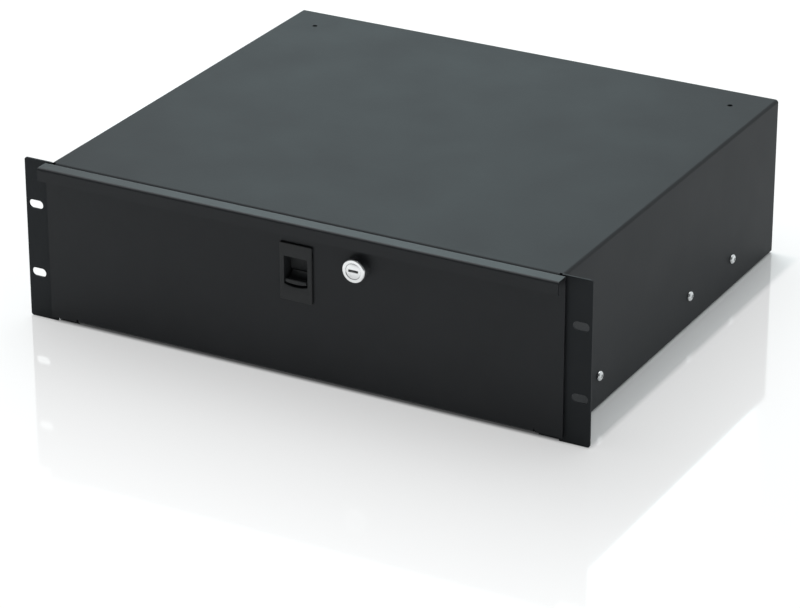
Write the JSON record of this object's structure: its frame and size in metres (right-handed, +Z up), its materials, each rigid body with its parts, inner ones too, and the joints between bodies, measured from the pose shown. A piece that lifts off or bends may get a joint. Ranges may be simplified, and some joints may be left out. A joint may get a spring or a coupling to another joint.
{
  "type": "sliding rack drawer",
  "caption": "Lockable drawer for a 19-inch rack: black sheet-steel housing with ears, full-extension ball-bearing slides, pull lip, finger latch and cam lock.",
  "frame": {"origin": "middle of the four rack slots, on the rear face of the ears, which meets the rack's rails", "axes": "+X to the right seen from the front, +Y back into the rack, +Z up; the drawer opens towards -Y"},
  "size_m": [0.4826, 0.3988, 0.1324],
  "materials": {
    "housing_paint": "black fine-textured powder coat",
    "drawer_paint": "black fine-textured powder coat",
    "slide_zinc": "bright zinc-plated steel",
    "cage_steel": "polished balls in a plain steel strip",
    "zinc_hardware": "zinc-plated steel",
    "rivet_metal": "plain aluminium",
    "bumper_rubber": "matt black rubber",
    "latch_plastic": "black moulded plastic, fine grain",
    "spring_steel": "spring wire",
    "lock_chrome": "polished chrome plate on zinc die casting"
  },
  "bodies": {
    "housing": {"housing_shell": "housing_paint", "rear_panel": "housing_paint", "keeper_angle": "housing_paint", "rear_bumpers": "bumper_rubber", "slide_outer_left": "slide_zinc", "slide_screws_left": "zinc_hardware", "slide_outer_right": "slide_zinc", "slide_screws_right": "zinc_hardware"},
    "drawer": {"drawer_tray": "drawer_paint", "drawer_back": "drawer_paint", "back_rivets": "rivet_metal", "drawer_front": "drawer_paint", "front_nuts": "zinc_hardware", "slide_inner_left": "slide_zinc", "slide_inner_screws_left": "zinc_hardware", "slide_inner_right": "slide_zinc", "slide_inner_screws_right": "zinc_hardware", "latch_housing": "latch_plastic", "latch_spring": "spring_steel", "lock_body": "lock_chrome", "lock_nut": "zinc_hardware"},
    "slide_middle_left": {"slide_middle_left": "slide_zinc"},
    "ball_cage_outer_left": {"ball_cage_outer_left": "cage_steel"},
    "ball_cage_inner_left": {"ball_cage_inner_left": "cage_steel"},
    "slide_middle_right": {"slide_middle_right": "slide_zinc"},
    "ball_cage_outer_right": {"ball_cage_outer_right": "cage_steel"},
    "ball_cage_inner_right": {"ball_cage_inner_right": "cage_steel"},
    "latch_slider": {"latch_slider": "latch_plastic"},
    "lock_plug": {"lock_plug": "lock_chrome", "lock_cam": "zinc_hardware", "lock_cam_screw": "zinc_hardware"}
  },
  "joints": [
    {"name": "drawer_slide", "type": "slide", "parent": "housing", "child": "drawer", "axis": [0, -1, 0], "range_m": [0, 0.35]},
    {"name": "middle_slide_left", "type": "slide", "parent": "housing", "child": "slide_middle_left", "axis": [0, -1, 0], "range_m": [0, 0.175]},
    {"name": "outer_balls_left", "type": "slide", "parent": "housing", "child": "ball_cage_outer_left", "axis": [0, -1, 0], "range_m": [0, 0.0875]},
    {"name": "inner_balls_left", "type": "slide", "parent": "housing", "child": "ball_cage_inner_left", "axis": [0, -1, 0], "range_m": [0, 0.2625]},
    {"name": "middle_slide_right", "type": "slide", "parent": "housing", "child": "slide_middle_right", "axis": [0, -1, 0], "range_m": [0, 0.175]},
    {"name": "outer_balls_right", "type": "slide", "parent": "housing", "child": "ball_cage_outer_right", "axis": [0, -1, 0], "range_m": [0, 0.0875]},
    {"name": "inner_balls_right", "type": "slide", "parent": "housing", "child": "ball_cage_inner_right", "axis": [0, -1, 0], "range_m": [0, 0.2625]},
    {"name": "latch_slide", "type": "slide", "parent": "drawer", "child": "latch_slider", "axis": [0, 0, 1], "range_m": [0, 0.004], "deforming": ["latch_spring"]},
    {"name": "lock_turn", "type": "hinge", "parent": "drawer", "child": "lock_plug", "pos_m": [0.052, 0, 0.037], "axis": [0, -1, 0], "range_deg": [0, 90]}
  ],
  "couplings": [
    {"joint": "middle_slide_left", "follows": "drawer_slide", "ratio": 0.5},
    {"joint": "outer_balls_left", "follows": "drawer_slide", "ratio": 0.25},
    {"joint": "inner_balls_left", "follows": "drawer_slide", "ratio": 0.75},
    {"joint": "middle_slide_right", "follows": "drawer_slide", "ratio": 0.5},
    {"joint": "outer_balls_right", "follows": "drawer_slide", "ratio": 0.25},
    {"joint": "inner_balls_right", "follows": "drawer_slide", "ratio": 0.75}
  ]
}
